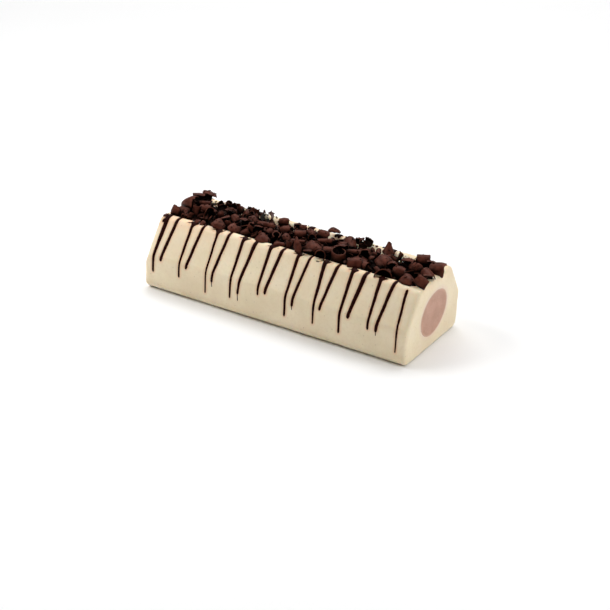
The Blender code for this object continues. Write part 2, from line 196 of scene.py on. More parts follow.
# Large curls, roughly left to right: kind, size, x, y and z of the middle, then spin, pitch and yaw.
# A yaw of 29 lays a roll across the camera's view, and -61 turns its mouth to the camera.
LARGE_CURLS = (
    ("flake", 0.50, -0.1240, -0.0280, 0.0652, 0, 0, 15),
    ("petal", 0.94, -0.1180, -0.0222, 0.0678, 74, -30, 20),
    ("arch", 0.95, -0.1118, -0.0170, 0.0684, 35, 12, 12),
    ("scroll", 0.55, -0.1095, -0.0225, 0.0660, 0, -10, -61),
    ("shell", 1.38, -0.1132, -0.0080, 0.0712, 60, -22, -14),
    ("arch", 0.95, -0.1095, -0.0105, 0.0700, 20, 62, -95),
    ("arch", 1.22, -0.1112, 0.0060, 0.0742, -62, 4, 27),
    ("flake", 1.22, -0.1052, 0.0138, 0.0768, -15, 12, -61),
    ("shell", 0.66, -0.1062, 0.0122, 0.0734, -75, 8, 29),
    ("roll", 0.85, -0.1032, -0.0114, 0.0690, 0, 80, -95),
    ("bar", 0.85, -0.1022, 0.0008, 0.0722, 20, 2, 25),
    ("arch", 0.95, -0.0968, -0.0076, 0.0700, 58, 5, 20),
    ("shell", 0.85, -0.0905, -0.0073, 0.0685, 0, 75, 119),
    ("petal", 0.55, -0.0925, -0.0258, 0.0660, 25, 12, -20),
    ("petal", 0.50, -0.0862, -0.0262, 0.0658, 40, -8, 40),
    ("flake", 0.75, -0.0960, 0.0175, 0.0668, -70, -20, 40),
    ("shell", 0.62, -0.0905, 0.0215, 0.0668, 0, 76, 150),
    ("arch", 0.55, -0.0832, 0.0212, 0.0672, -95, 60, 10),
    ("shell", 0.50, -0.0815, 0.0236, 0.0664, 0, 78, -61),
    ("shell", 0.58, -0.0735, 0.0168, 0.0674, 0, 72, -20),
    ("arch", 0.52, -0.0695, 0.0238, 0.0664, 0, 76, 140),
    ("roll", 0.55, -0.0608, 0.0226, 0.0664, 0, 80, -80),
    ("arch", 0.62, -0.0600, 0.0150, 0.0674, 20, 65, 100),
    ("scroll", 0.60, -0.0528, 0.0222, 0.0668, 0, -20, -61),
    ("flake", 0.55, -0.0885, 0.0205, 0.0672, -60, 70, 10),
    ("petal", 0.65, -0.0804, -0.0065, 0.0682, 80, 0, 20),
    ("petal", 1.20, -0.0708, -0.0226, 0.0674, -20, 36, -61),
    ("petal", 1.00, -0.0564, -0.0212, 0.0670, -25, 40, -61),
    ("roll", 1.05, -0.0759, 0.0053, 0.0680, -30, -15, -61),
    ("arch", 0.80, -0.0669, -0.0046, 0.0680, 35, 30, -30),
    ("roll", 0.60, -0.0745, 0.0195, 0.0665, -60, 0, -50),
    ("petal", 0.65, -0.0659, 0.0129, 0.0676, 20, 30, -61),
    ("petal", 0.65, -0.0635, 0.0200, 0.0671, 78, 0, 29),
    ("roll", 1.15, -0.0440, 0.0142, 0.0686, 200, -12, -72),
    ("petal", 0.85, -0.0528, 0.0047, 0.0682, -10, 25, -61),
    ("shell", 0.80, -0.0565, -0.0030, 0.0668, -75, 0, -10),
    ("bar", 1.25, -0.0364, -0.0009, 0.0686, 25, 6, 22),
    ("shell", 0.70, -0.0392, -0.0085, 0.0668, -85, 5, 15),
    ("shell", 0.80, -0.0458, -0.0133, 0.0673, 0, 80, -150),
    ("petal", 0.65, -0.0274, -0.0090, 0.0684, 0, 30, -61),
    ("roll", 0.80, -0.0171, -0.0158, 0.0672, 0, -70, -61),
    ("petal", 1.12, -0.0265, -0.0235, 0.0666, 5, 38, -61),
    ("petal", 0.88, -0.0093, -0.0112, 0.0676, -15, 35, -61),
    ("bar", 0.82, -0.0087, -0.0232, 0.0656, 30, 0, 29),
    ("roll", 0.62, -0.0020, -0.0200, 0.0662, 0, 80, -100),
    ("arch", 0.90, -0.0275, 0.0142, 0.0680, 60, 0, 29),
    ("arch", 0.85, -0.0186, 0.0018, 0.0678, 50, 0, 20),
    ("shell", 0.60, -0.0155, 0.0179, 0.0670, -70, 0, 29),
    ("arch", 0.65, -0.0094, 0.0171, 0.0674, 30, 0, 29),
    ("roll", 1.00, -0.0026, 0.0005, 0.0678, 45, 0, 25),
    ("petal", 0.90, 0.0039, 0.0096, 0.0690, 0, 18, -40),
    ("roll", 0.85, 0.0100, 0.0006, 0.0678, -30, -30, -70),
    ("arch", 1.05, 0.0145, 0.0104, 0.0686, 50, 12, 15),
    ("bar", 1.02, 0.0218, 0.0009, 0.0682, 30, -3, 29),
    ("bar", 0.75, 0.0037, -0.0112, 0.0672, 25, 0, 29),
    ("leaf", 1.38, 0.0100, -0.0252, 0.0678, 66, -20, 30),
    ("petal", 1.38, 0.0200, -0.0172, 0.0688, 10, 32, -61),
    ("shell", 0.70, 0.0195, -0.0240, 0.0656, -80, 0, 20),
    ("roll", 1.12, 0.0316, -0.0236, 0.0668, -60, -20, -61),
    ("arch", 0.90, 0.0327, -0.0132, 0.0672, 50, 0, 10),
    ("shell", 1.10, 0.0420, -0.0062, 0.0676, -88, -10, 20),
    ("petal", 0.80, 0.0382, 0.0029, 0.0698, -20, 0, 29),
    ("roll", 1.50, 0.0452, -0.0172, 0.0648, 0, 101, -61),
    ("petal", 0.95, 0.0185, 0.0238, 0.0698, -10, 14, -50),
    ("arch", 1.18, 0.0408, 0.0100, 0.0690, 10, 24, -61),
    ("bar", 0.98, 0.0526, -0.0038, 0.0682, 30, 0, 25),
    ("arch", 1.26, 0.0640, -0.0228, 0.0668, 62, 0, 24),
    ("roll", 0.90, 0.0700, -0.0187, 0.0660, 60, 0, -10),
    ("shell", 0.55, 0.0440, 0.0215, 0.0676, -80, 0, 20),
    ("arch", 0.78, 0.0530, 0.0222, 0.0684, -110, 18, 0),
    ("scroll", 0.80, 0.0480, 0.0195, 0.0678, 0, -8, -61),
    ("tent", 0.96, 0.0738, 0.0205, 0.0682, 0, 66, -66),
    ("shell", 0.90, 0.0625, -0.0026, 0.0675, 0, 80, 119),
    ("petal", 0.50, 0.0700, -0.0040, 0.0678, 30, 20, -20),
    ("petal", 0.45, 0.0690, 0.0030, 0.0676, 50, -20, 50),
    ("petal", 1.45, 0.0829, -0.0052, 0.0690, 5, 32, -61),
    ("shell", 0.90, 0.0933, -0.0060, 0.0680, -45, -10, -61),
    ("arch", 1.55, 0.0898, -0.0206, 0.0652, 0, -30, -61),
    ("arch", 1.05, 0.1020, -0.0162, 0.0672, 75, 10, 10),
    ("petal", 1.18, 0.1136, -0.0224, 0.0666, 5, 36, -61),
    ("arch", 1.15, 0.1254, -0.0222, 0.0662, 95, 30, 5),
    ("arch", 1.10, 0.1244, -0.0054, 0.0690, 0, 14, -40),
    ("shell", 0.80, 0.1255, -0.0085, 0.0660, -85, 0, 29),
    ("petal", 0.88, 0.1078, -0.0028, 0.0684, 70, 0, -20),
    ("petal", 0.88, 0.1141, -0.0030, 0.0684, 70, 0, 60),
    ("shell", 1.00, 0.1006, 0.0057, 0.0680, -70, 0, 15),
    ("roll", 1.15, 0.1089, 0.0159, 0.0688, 55, 0, 25),
    ("shell", 0.70, 0.1165, 0.0158, 0.0676, -80, 8, 20),
    ("shell", 1.22, 0.1262, 0.0088, 0.0686, 38, -4, 14),
)

# Scattered curls fill between the large ones; bits and crumbs settle over everything.
SCATTER_COLUMNS = 30
SCATTER_ROWS = 5
SCATTER_STRAY = 0.0024
SCATTER_SIZES = (0.62, 0.92)
SCATTER_LIFTS = (0.0012, 0.0034)
SCATTER_KINDS = ("roll", "arch", "cone", "petal", "petal", "scroll", "flake")
BIT_COUNT = 240
BIT_SIZES = (0.0016, 0.0042)
BIT_THICKNESS = 0.00045
CRUMB_COUNT = 420
CRUMB_SIZES = (0.0004, 0.0011)
BACK_SHARE = 0.35
BACK_STRIP = (0.0165, 0.0290, 0.0200)

# How far a point of the heap looks for what shuts it in, along rays spread evenly over a ball, for the
# shade painted on the heap.
OPEN_REACH = 0.010
OPEN_START = 0.0003
OPEN_RAYS = 14
OPEN_RAYS_TURN = radians(137.508)

# Colours of the ice creams: tones, grain, the specks and edges laid over them.
CREAM_TONES = ((0.78, 0.655, 0.452, 1), (0.84, 0.725, 0.522, 1))
CREAM_GRAIN = (0.72, 0.585, 0.385, 1)
CREAM_BY_CORE = (0.78, 0.60, 0.47, 1)
SPECK = (0.30, 0.19, 0.10, 1)
SPECKS_PER_METRE = 260.0
STAIN = (0.72, 0.40, 0.22, 1)
CORE_TONES = ((0.445, 0.247, 0.172, 1), (0.515, 0.290, 0.210, 1))
CORE_GRAIN = (0.62, 0.42, 0.33, 1)
CORE_SKIN = (0.68, 0.47, 0.36, 1)
# Painted warm shade: a peach tone below the rim, where light glows through the cream in the heap's shade,
# that fades along the log, over these heights and places along X.
PAINTED_WARM_SHADE = (0.90, 0.60, 0.385, 1)
WARM_SHADE_HEIGHTS = (0.050, 0.061)
WARM_SHADE_ALONG = (-0.118, -0.055)
# Colours of the chocolate. COCOA_SHEEN tints what it mirrors.
COCOA_SHEEN = (1.0, 0.55, 0.42, 1.0)
SAUCE_TONES = ((0.0090, 0.0008, 0.0006, 1), (0.0170, 0.0018, 0.0013, 1))
THIN_SAUCE = (0.085, 0.016, 0.006, 1)
# Crumbs and bed share these dark tones; on the bed they are painted shade between the curls.
CRUMB_AND_SHADE_TONES = ((0.006, 0.0016, 0.0010, 1), (0.030, 0.0090, 0.0052, 1))
# Faces of a curl: darker and lighter colour, roughness, depth of the scrape lines.
CURL_FACES = {
    "curl_outside": ((0.036, 0.0070, 0.0039, 1), (0.112, 0.0315, 0.0196, 1), 0.43, 0.00012),
    # The inside is near black: painted shade, as it is the same chocolate as the outside.
    "curl_inside_painted_shade": ((0.006, 0.0014, 0.0008, 1), (0.015, 0.0038, 0.0022, 1), 0.60, 0.00012),
    "curl_edge": ((0.050, 0.0120, 0.0064, 1), (0.115, 0.0340, 0.0190, 1), 0.50, 0.00005),
}
# Painted shade: the heap's colour where it is shut in, and the openness from there to its own full colour.
PAINTED_SHADE_COCOA = (0.0016, 0.0003, 0.0002, 1.0)
OPEN_RANGE = (0.47, 1.00)
PAPER_TONES = ((0.90, 0.90, 0.90, 1), (0.93, 0.93, 0.93, 1))

# Camera and light.
CAMERA_AZIMUTH = radians(28.958)
CAMERA_ELEVATION = radians(26.284)
CAMERA_ROLL = radians(3.287)
CAMERA_DISTANCE = 1.463025
CAMERA_TARGET = Vector((0.006424, 0.0, 0.002583))
CAMERA_LENS = 97.867
CAMERA_SENSOR = 36.0
# Soft boxes: place, point faced, width, height, watts.
SOFT_BOXES = {
    "over": ((-0.30, 1.50, 2.90), (0.0, 0.0, 0.05), 4.2, 2.6, 102.0),
    "right": ((1.10, 0.10, 0.55), (0.1, 0.0, 0.04), 0.7, 0.6, 5.4),
    "front": ((-0.50, -0.33, 0.60), (-0.08, 0.0, 0.04), 0.5, 0.4, 3.95),
    "backdrop": ((-0.50, 0.95, 0.90), (-0.50, 0.94, 0.0), 1.6, 0.6, 1.1),
}
WORLD_STRENGTH = 0.12


# ---- meshes

def add_object(name, data):
    obj = bpy.data.objects.new(name, data)
    bpy.context.scene.collection.objects.link(obj)
    return obj


def add_mesh(name, bm):
    """A new object with what the bmesh holds."""
    mesh = bpy.data.meshes.new(name)
    bm.to_mesh(mesh)
    bm.free()
    return add_object(name, mesh)


def apply_modifiers(obj):
    bpy.context.view_layer.update()
    depsgraph = bpy.context.evaluated_depsgraph_get()
    mesh = bpy.data.meshes.new_from_object(obj.evaluated_get(depsgraph))
    obj.modifiers.clear()
    old = obj.data
    obj.data = mesh
    bpy.data.meshes.remove(old)
    return obj


def boolean(obj, operation, operand, solver="EXACT"):
    cut = obj.modifiers.new(operation.title(), "BOOLEAN")
    cut.operation = operation
    cut.solver = solver
    cut.object = operand
    return apply_modifiers(obj)


def remesh(obj, voxel, smoothing):
    """Rounds a closed mesh into an even skin of small squares."""
    skin = obj.modifiers.new("Skin", "REMESH")
    skin.mode = "VOXEL"
    skin.voxel_size = voxel
    smooth = obj.modifiers.new("Smooth", "SMOOTH")
    smooth.factor = 0.5
    smooth.iterations = smoothing
    return apply_modifiers(obj)


def shade_smooth(obj):
    obj.data.polygons.foreach_set("use_smooth", [True] * len(obj.data.polygons))
    obj.data.update()


def join_rows(bm, rows):
    """The faces between neighbouring rows of points."""
    faces = []
    for low, high in zip(rows, rows[1:]):
        for k in range(len(low) - 1):
            faces.append(bm.faces.new((low[k], low[k + 1], high[k + 1], high[k])))
    return faces


def keep_values(obj, name, values):
    """Keeps one number for each point of a piece, for its material to read."""
    obj.data.attributes.new(name, "FLOAT", "POINT").data.foreach_set("value", values)


def tree_of(objects):
    """One search tree over several pieces as they lie."""
    bm = bmesh.new()
    for obj in objects:
        bm.from_mesh(obj.data)
    made = BVHTree.FromBMesh(bm)
    bm.free()
    return made


def ease(value, low, high):
    """0 below low, 1 above high, and a smooth step between."""
    t = min(max((value - low) / (high - low), 0.0), 1.0)
    return t * t * (3 - 2 * t)


def ripple(x, y, z):
    """Smooth noise at a place, about -1 to 1."""
    return noise.noise(Vector((x, y, z)))


def waves(co, layers, seed=0.0):
    """Sum of noise layers, each a (wavelength, height)."""
    return sum(noise.noise(co / length + Vector((seed, 0, 0))) * height for length, height in layers)


# ---- node trees

def fill(tree, node, inputs):
    """Sets a node's inputs, or links those whose value is another node's output."""
    for key, value in inputs.items():
        if isinstance(value, bpy.types.NodeSocket):
            tree.links.new(value, node.inputs[key])
        else:
            node.inputs[key].default_value = value


def add_node(tree, kind, inputs=None, **settings):
    """A shader node with its settings and its inputs."""
    made = tree.nodes.new("ShaderNode" + kind)
    for key, value in settings.items():
        setattr(made, key, value)
    fill(tree, made, inputs or {})
    return made


def kept_values(tree, name):
    """The numbers that a piece keeps for its points."""
    return add_node(tree, "Attribute", attribute_name=name).outputs["Fac"]


def mix_colour(tree, factor, a, b):
    return add_node(tree, "Mix", {0: factor, 6: a, 7: b}, data_type="RGBA").outputs[2]


def noise_node(tree, vector, scale, detail=2.0, rough=0.5):
    inputs = {"Vector": vector, "Scale": scale, "Detail": detail, "Roughness": rough}
    return add_node(tree, "TexNoise", inputs).outputs["Fac"]


def remap(tree, value, low, high, to_low=0.0, to_high=1.0):
    inputs = {"Value": value, "From Min": low, "From Max": high, "To Min": to_low, "To Max": to_high}
    return add_node(tree, "MapRange", inputs).outputs["Result"]


def maths(tree, operation, a, b):
    return add_node(tree, "Math", {0: a, 1: b}, operation=operation).outputs[0]


def new_material(name):
    """A material with its tree, its shader and the piece's own coordinates."""
    made = bpy.data.materials.new(name)
    made.use_nodes = True
    tree = made.node_tree
    shader = tree.nodes["Principled BSDF"]
    place = add_node(tree, "TexCoord").outputs["Object"]
    return made, tree, shader, place


def bump(tree, shader, height, distance, strength=1.0):
    inputs = {"Height": height, "Distance": distance, "Strength": strength}
    fill(tree, shader, {"Normal": add_node(tree, "Bump", inputs).outputs["Normal"]})


def core_reach(tree, place, core_low, core_high):
    """How far out from the core's middle a point is: 1 on the core's own outline."""
    middle = (core_low + core_high) / 2
    half = core_half_sizes(core_low, core_high)
    inputs = {
        "Vector": place,
        "Location": (0.0, middle.y, middle.z),
        "Rotation": (CORE_TILT, 0.0, 0.0),
        "Scale": (1.0, half[0], half[1]),
    }
    local = add_node(tree, "Mapping", inputs, vector_type="TEXTURE").outputs["Vector"]
    split = add_node(tree, "SeparateXYZ", {"Vector": local})
    flat = add_node(tree, "CombineXYZ", {"Y": split.outputs["Y"], "Z": split.outputs["Z"]})
    length = add_node(tree, "VectorMath", {0: flat.outputs["Vector"]}, operation="LENGTH")
    return length.outputs["Value"]


def vanilla_colour(tree, place, grain, core_low, core_high):
    """Cloudy cream: tan by the core, with faint specks, a peach tone of painted warm shade and a stain by
    the drizzle.
    """
    cloud = noise_node(tree, place, 38.0, 3.0)
    colour = mix_colour(tree, remap(tree, cloud, 0.35, 0.65), *CREAM_TONES)
    colour = mix_colour(tree, remap(tree, grain, 0.45, 0.75, 0.0, 0.35), colour, CREAM_GRAIN)

    reach = core_reach(tree, place, core_low, core_high)
    wander = remap(tree, noise_node(tree, place, 160.0), 0.3, 0.7, -0.03, 0.03)
    ring = remap(tree, maths(tree, "ADD", reach, wander), 1.0, 1.22, 0.75, 0.0)
    colour = mix_colour(tree, ring, colour, CREAM_BY_CORE)

    cells = add_node(tree, "TexVoronoi", {"Vector": place, "Scale": SPECKS_PER_METRE})
    speck = remap(tree, cells.outputs["Distance"], 0.06, 0.14, 1.0, 0.0)
    pick = add_node(tree, "SeparateColor", {"Color": cells.outputs["Color"]}).outputs["Red"]
    chosen = remap(tree, pick, 0.45, 1.0, 0.0, 0.80)
    colour = mix_colour(tree, maths(tree, "MULTIPLY", speck, chosen), colour, SPECK)

    # Painted warm shade: peach, high on the sides and strongest towards the -X end.
    axes = add_node(tree, "SeparateXYZ", {"Vector": place})
    high = remap(tree, axes.outputs["Z"], *WARM_SHADE_HEIGHTS, 0.0, 0.5)
    left = remap(tree, axes.outputs["X"], *WARM_SHADE_ALONG, 1.0, 0.2)
    colour = mix_colour(tree, maths(tree, "MULTIPLY", high, left), colour, PAINTED_WARM_SHADE)

    return mix_colour(tree, remap(tree, kept_values(tree, "stain"), 0.0, 1.0, 0.0, 0.55), colour, STAIN)


def vanilla_material(core_low, core_high):
    """Frozen vanilla ice cream, a little see-through, with fine pits."""
    made, tree, shader, place = new_material("vanilla_ice_cream_frozen")
    grain = noise_node(tree, place, 420.0, 3.0)
    fill(tree, shader, {
        "Base Color": vanilla_colour(tree, place, grain, core_low, core_high),
        "Roughness": remap(tree, grain, 0.3, 0.7, 0.42, 0.58),
        "Specular IOR Level": 0.35,
        "Subsurface Weight": 0.35,
        "Subsurface Radius": (1.0, 0.55, 0.3),
        "Subsurface Scale": 0.0012,
    })
    fine = noise_node(tree, place, 1500.0, 3.0, 0.6)
    pits = add_node(tree, "TexVoronoi", {"Vector": place, "Scale": 520.0}).outputs["Distance"]
    holes = remap(tree, pits, 0.05, 0.22, -0.8, 0.0)
    bump(tree, shader, maths(tree, "ADD", fine, holes), 0.00012, 0.6)
    return made


def core_material(core_low, core_high):
    """Pale chocolate ice cream, lighter towards its skin, with ice grains."""
    made, tree, shader, place = new_material("chocolate_ice_cream_frozen")
    cloud = noise_node(tree, place, 90.0, 3.0)
    grain = noise_node(tree, place, 650.0, 3.0)
    colour = mix_colour(tree, remap(tree, cloud, 0.35, 0.65), *CORE_TONES)
    colour = mix_colour(tree, remap(tree, grain, 0.5, 0.75, 0.0, 0.5), colour, CORE_GRAIN)
    skin = remap(tree, core_reach(tree, place, core_low, core_high), 0.90, 1.0, 0.0, 0.65)
    fill(tree, shader, {
        "Base Color": mix_colour(tree, skin, colour, CORE_SKIN),
        "Roughness": remap(tree, grain, 0.3, 0.7, 0.45, 0.62),
        "Specular IOR Level": 0.3,
        "Subsurface Weight": 0.25,
        "Subsurface Radius": (1.0, 0.5, 0.3),
        "Subsurface Scale": 0.0010,
    })
    bump(tree, shader, noise_node(tree, place, 1300.0, 4.0, 0.6), 0.00014, 0.6)
    return made


def drizzle_material():
    """Set chocolate sauce: nearly black where it is deep, red-brown where it thins out."""
    made, tree, shader, place = new_material("chocolate_drizzle_gloss")
    cloud = noise_node(tree, place, 260.0, 2.0)
    deep = mix_colour(tree, cloud, *SAUCE_TONES)
    thin = remap(tree, kept_values(tree, "depth"), 0.02, 0.32, 1.0, 0.0)
    fill(tree, shader, {
        "Base Color": mix_colour(tree, thin, deep, THIN_SAUCE),
        "Roughness": remap(tree, cloud, 0.3, 0.7, 0.32, 0.46),
        "Specular IOR Level": 0.05,
        "Specular Tint": COCOA_SHEEN,
    })
    bump(tree, shader, noise_node(tree, place, 900.0, 2.0), 0.00008, 0.5)
    return made


def paint_heap_shade(tree, colour):
    """Painted shade: takes a heap colour towards black where the heap shuts the light out."""
    return mix_colour(tree, remap(tree, kept_values(tree, "open"), *OPEN_RANGE), PAINTED_SHADE_COCOA, colour)


def curl_material(name, dark, light, rough, streak_depth):
    """Shaved chocolate: satin, with scrape lines that run round the curl and a little bloom, and painted
    shade where the heap shuts it in.
    """
    made, tree, shader, place = new_material(name)
    sheet = add_node(tree, "UVMap", uv_map="sheet").outputs["UV"]
    stretched = add_node(tree, "Mapping", {"Vector": sheet, "Scale": (2600.0, 170.0, 1.0)})
    streaks = noise_node(tree, stretched.outputs["Vector"], 1.0, 3.0)
    cloud = noise_node(tree, place, 210.0, 2.0)
    colour = mix_colour(tree, remap(tree, cloud, 0.3, 0.7), dark, light)
    colour = mix_colour(tree, remap(tree, streaks, 0.55, 0.85, 0.0, 0.5), colour, light)
    fill(tree, shader, {
        "Base Color": paint_heap_shade(tree, colour),
        "Roughness": remap(tree, streaks, 0.3, 0.7, rough - 0.07, rough + 0.10),
        "Specular IOR Level": 0.13,
        "Specular Tint": COCOA_SHEEN,
    })
    bump(tree, shader, streaks, streak_depth, 0.8)
    return made


def crumb_and_shade_material():
    """Broken chocolate for the crumbs, and the bed's near black, which is painted shade between the curls.
    """
    made, tree, shader, place = new_material("chocolate_crumb_and_shade")
    cloud = noise_node(tree, place, 700.0, 3.0)
    fill(tree, shader, {
        "Base Color": paint_heap_shade(tree, mix_colour(tree, remap(tree, cloud, 0.4, 0.7), *CRUMB_AND_SHADE_TONES)),
        "Roughness": remap(tree, cloud, 0.3, 0.7, 0.5, 0.7),
        "Specular IOR Level": 0.06,
        "Specular Tint": COCOA_SHEEN,
    })
    bump(tree, shader, cloud, 0.0003)
    return made


def floor_material():
    """Matt white paper."""
    made, tree, shader, place = new_material("white_floor")
    fill(tree, shader, {
        "Base Color": mix_colour(tree, noise_node(tree, place, 900.0, 2.0), *PAPER_TONES),
        "Roughness": 0.9,
        "Specular IOR Level": 0.1,
    })
    return made


# ---- log and core

def end_rounding(a, b):
    """The radius of an end face's edge between the corners a and b."""
    radii = CUT_END_RADII if a.x > 0 else MOULDED_END_RADII
    if abs(a.z - b.z) < 1e-6:
        return radii["foot"] if a.z < WAIST_HEIGHT else radii["top"]
    if min(a.z, b.z) < WAIST_HEIGHT - 1e-6:
        return radii["upright"]
    return radii["slope"]


def log_prism(length):
    """The log without its basin: a six-sided prism with every edge rounded."""
    corners = [
        (-BASE_WIDTH / 2, 0.0, BASE_RADIUS),
        (-BASE_WIDTH / 2, WAIST_HEIGHT, WAIST_RADIUS),
        (-TOP_WIDTH / 2, CAKE_HEIGHT, RIM_RADIUS),
        (TOP_WIDTH / 2, CAKE_HEIGHT, RIM_RADIUS),
        (BASE_WIDTH / 2, WAIST_HEIGHT, WAIST_RADIUS),
        (BASE_WIDTH / 2, 0.0, BASE_RADIUS),
    ]
    bm = bmesh.new()
    end_face = bm.faces.new([bm.verts.new((-length / 2, y, z)) for y, z, radius in corners])
    made = bmesh.ops.extrude_face_region(bm, geom=[end_face])["geom"]
    far_verts = [v for v in made if isinstance(v, bmesh.types.BMVert)]
    bmesh.ops.translate(bm, verts=far_verts, vec=(length, 0.0, 0.0))
    bmesh.ops.recalc_face_normals(bm, faces=bm.faces)
    weights = bm.edges.layers.float.new("bevel_weight_edge")
    for edge in bm.edges:
        a, b = (v.co for v in edge.verts)
        if abs(a.x - b.x) > 1e-6:
            rounding = next(r for y, z, r in corners if abs(y - a.y) < 1e-6 and abs(z - a.z) < 1e-6)
        else:
            rounding = end_rounding(a, b)
        edge[weights] = rounding / LARGEST_RADIUS
    obj = add_mesh("frozen_log", bm)
    bevel = obj.modifiers.new("Rounding", "BEVEL")
    bevel.limit_method = "WEIGHT"
    bevel.width = LARGEST_RADIUS
    bevel.segments = ROUNDING_STEPS
    return apply_modifiers(obj)


def basin_cutter(length):
    """A shallow tray shape whose walls lean out by the draft."""
    half_length = length / 2 - END_RIM_WIDTH
    half_width = TOP_WIDTH / 2 - RIM_WIDTH
    bm = bmesh.new()
    bmesh.ops.create_cube(bm, size=2.0)
    for v in bm.verts:
        out = BASIN_DRAFT * v.co.z
        x, y = v.co.x * (half_length + out), v.co.y * (half_width + out)
        v.co = (x, y, CAKE_HEIGHT + BASIN_DEPTH * v.co.z)
    corners = [e for e in bm.edges if abs(e.verts[0].co.z - e.verts[1].co.z) > 1e-6]
    bmesh.ops.bevel(bm, geom=corners, offset=BASIN_CORNER_RADIUS, segments=6, affect="EDGES", profile=0.5)
    return add_mesh("basin_cutter", bm)


def roughen_ice(obj):
    """Gives the frozen skin its slow waves, an uneven rim and the droop of the front rim's cut end."""
    bm = bmesh.new()
    bm.from_mesh(obj.data)
    bm.normal_update()
    moves = []
    for v in bm.verts:
        push = waves(v.co, ICE_WAVES)
        push += ease(v.co.z, *RIM_WAVES_FROM) * waves(v.co, RIM_WAVES, seed=7.0)
        push *= ease(v.co.z, *ICE_WAVES_FROM)
        droop = ease(v.co.x, DROOP_START, DROOP_START + DROOP_LENGTH)
        droop *= ease(-v.co.y, *DROOP_OUTWARD) * ease(v.co.z, *DROOP_HEIGHTS)
        moves.append(v.normal * push - Vector((0.0, 0.0, DROOP_DEPTH * droop)))
    for v, move in zip(bm.verts, moves):
        v.co += move
        v.co.z = max(v.co.z, 0.0)
    bm.to_mesh(obj.data)
    bm.free()


def frozen_log(length):
    """The log with its basin, rounded and roughened, with the core still in one piece with it."""
    log = log_prism(length)
    cutter = basin_cutter(length)
    boolean(log, "DIFFERENCE", cutter)
    bpy.data.objects.remove(cutter, do_unlink=True)
    remesh(log, ICE_VOXEL, ICE_SMOOTHING)
    roughen_ice(log)
    return log


def core_half_sizes(low, high):
    """The tilted oval's own half sizes, from the box round it."""
    cos2, sin2 = cos(CORE_TILT) ** 2, sin(CORE_TILT) ** 2
    wide2, tall2 = ((high.y - low.y) / 2) ** 2, ((high.z - low.z) / 2) ** 2
    spread = cos2 * cos2 - sin2 * sin2
    return (
        sqrt((wide2 * cos2 - tall2 * sin2) / spread),
        sqrt((tall2 * cos2 - wide2 * sin2) / spread),
    )


def core_bar(low, high):
    """An oval bar, longer than the log, that the log and the core are both cut with."""
    half = core_half_sizes(low, high)
    bm = bmesh.new()
    length = (high.x - low.x) * 1.1
    bmesh.ops.create_cone(bm, cap_ends=True, segments=CORE_SIDES, radius1=1.0, radius2=1.0, depth=length)
    bm.transform(Matrix.Rotation(pi / 2, 4, "Y"))
    bmesh.ops.scale(bm, vec=(1.0, half[0], half[1]), verts=bm.verts)
    bm.transform(Matrix.Rotation(CORE_TILT, 4, "X"))
    bm.transform(Matrix.Translation((0.0, (low.y + high.y) / 2, (low.z + high.z) / 2)))
    return add_mesh("core_bar", bm)


def split_core(log, low, high):
    """Cuts the log along the core's outline, so that the two meet flush at both ends."""
    bar = core_bar(low, high)
    core = add_object("frozen_core", log.data.copy())
    boolean(core, "INTERSECT", bar, "MANIFOLD")
    boolean(log, "DIFFERENCE", bar, "MANIFOLD")
    bpy.data.objects.remove(bar, do_unlink=True)
    return core


# ---- drizzle

def side_outline():
    """The log's outline up one side, over the rim and into the basin, as (y outward, z)."""
    half_base, half_top = BASE_WIDTH / 2, TOP_WIDTH / 2
    lean = atan2(half_base - half_top, CAKE_HEIGHT - WAIST_HEIGHT)
    tangent = RIM_RADIUS * tan((pi / 2 - lean) / 2)
    centre = Vector((half_top - tangent, CAKE_HEIGHT - RIM_RADIUS))
    points = [Vector((half_base, 0.0)), Vector((half_base, WAIST_HEIGHT))]
    for step in range(5):
        angle = lean + (pi / 2 - lean) * step / 4
        points.append(centre + RIM_RADIUS * Vector((cos(angle), sin(angle))))
    points.append(Vector((half_top - RIM_WIDTH + 0.0010, CAKE_HEIGHT)))
    points.append(Vector((half_top - RIM_WIDTH - 0.0015, CAKE_HEIGHT - 0.0025)))
    return points


class Side:
    """One long side of the log, measured by distance up its outline."""

    def __init__(self, side, tree):
        self.side = side
        self.tree = tree
        self.points = side_outline()
        self.marks = [0.0]
        for a, b in zip(self.points, self.points[1:]):
            self.marks.append(self.marks[-1] + (b - a).length)
        self.rim = self.marks[-3]

    def ideal(self, distance):
        """The outline's point at a distance from the foot."""
        for a, b, start, end in zip(self.points, self.points[1:], self.marks, self.marks[1:]):
            if distance <= end:
                return a.lerp(b, max(0.0, (distance - start) / (end - start)))
        return self.points[-1]

    def distance_at(self, z):
        """The distance up the outline at a height, below the rim."""
        for a, b, start in zip(self.points, self.points[1:], self.marks):
            if z <= b.y:
                return start + (b - a).length * (z - a.y) / (b.y - a.y)
        return self.rim

    def surface(self, x, distance):
        """The point on the frozen skin, and the way out of it."""
        reach = 0.0015
        here = self.ideal(distance)
        along = self.ideal(distance + reach) - self.ideal(distance - reach)
        outward = Vector((0.0, self.side * along.y, -along.x)).normalized()
        ideal = Vector((x, self.side * here.x, here.y))
        hit = self.tree.ray_cast(ideal + outward * 0.004, -outward, 0.012)[0]
        return (hit or ideal), outward


def add_ring(bm, centre, across, outward, half_width, rise, sink):
    """One flattened ring of a bead, its lower half sunk in the log."""
    ring = []
    for k in range(BEAD_SIDES):
        angle = 2 * pi * k / BEAD_SIDES
        height = sin(angle) * (rise if sin(angle) > 0 else sink)
        ring.append(bm.verts.new(centre + across * half_width * cos(angle) + outward * height))
    return ring


